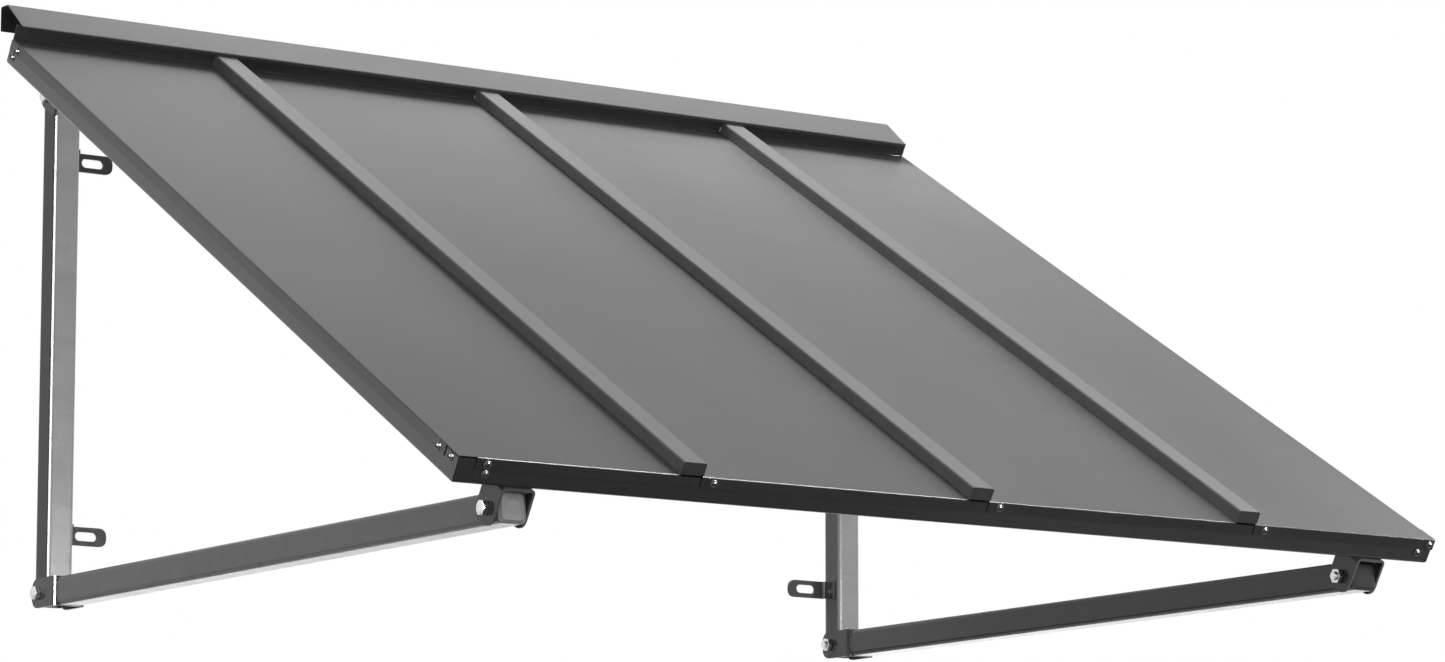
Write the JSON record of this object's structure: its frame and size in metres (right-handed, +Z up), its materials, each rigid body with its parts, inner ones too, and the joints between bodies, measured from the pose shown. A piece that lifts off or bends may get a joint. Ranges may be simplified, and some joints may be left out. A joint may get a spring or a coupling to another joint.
{
  "type": "wall awning",
  "caption": "Small standing-seam metal awning on a square-tube frame, held by two wall posts and two level arms.",
  "frame": {"origin": "on the back face of the ridge flashing, where it meets the wall, at the middle of its length and of its height", "axes": "the wall is the plane y = 0; +X is to the right seen from the front, +Y into the wall, +Z up"},
  "size_m": [1.1234, 0.9208, 0.6148],
  "materials": {
    "coated_sheet": "fine textured powder coat",
    "coated_frame": "fine textured powder coat",
    "coated_screw": "glossy coat",
    "zinc_plate": "bright zinc plate",
    "grey_plug": "moulded plastic",
    "block_plastic": "moulded plastic"
  },
  "bodies": {
    "root": {"arm_clevis_left": "coated_frame", "arm_clevis_right": "coated_frame", "arm_left": "coated_frame", "arm_plug_left": "grey_plug", "arm_plug_right": "grey_plug", "arm_right": "coated_frame", "batten_cap_1": "coated_sheet", "batten_cap_2": "coated_sheet", "batten_cap_3": "coated_sheet", "bottom_left_bolt": "zinc_plate", "bottom_left_nut": "zinc_plate", "bottom_right_bolt": "zinc_plate", "bottom_right_nut": "zinc_plate", "corner_block_front_left": "block_plastic", "corner_block_front_right": "block_plastic", "corner_block_rear_left": "block_plastic", "corner_block_rear_right": "block_plastic", "front_bracket_left": "coated_frame", "front_bracket_right": "coated_frame", "front_left_bolt": "zinc_plate", "front_left_nut": "zinc_plate", "front_rail": "coated_frame", "front_right_bolt": "zinc_plate", "front_right_nut": "zinc_plate", "front_screw_left": "coated_screw", "front_screw_right": "coated_screw", "lip_screw_1": "coated_screw", "lip_screw_2": "coated_screw", "lip_screw_3": "coated_screw", "lip_screw_4": "coated_screw", "lip_screw_5": "coated_screw", "lower_lug_left": "coated_frame", "lower_lug_right": "coated_frame", "pan_1": "coated_sheet", "pan_2": "coated_sheet", "pan_3": "coated_sheet", "pan_4": "coated_sheet", "rear_rail": "coated_frame", "ridge_flashing": "coated_sheet", "side_rail_left": "coated_frame", "side_rail_right": "coated_frame", "side_screw_corner_left": "coated_screw", "side_screw_corner_right": "coated_screw", "side_screw_end_left": "coated_screw", "side_screw_end_right": "coated_screw", "side_screw_lip_left": "coated_screw", "side_screw_lip_right": "coated_screw", "side_screw_rear_left": "coated_screw", "side_screw_rear_right": "coated_screw", "top_bracket_left": "coated_frame", "top_bracket_right": "coated_frame", "top_left_bolt": "zinc_plate", "top_left_nut": "zinc_plate", "top_right_bolt": "zinc_plate", "top_right_nut": "zinc_plate", "upper_lug_left": "coated_frame", "upper_lug_right": "coated_frame", "wall_post_left": "coated_frame", "wall_post_right": "coated_frame"}
  },
  "joints": []
}
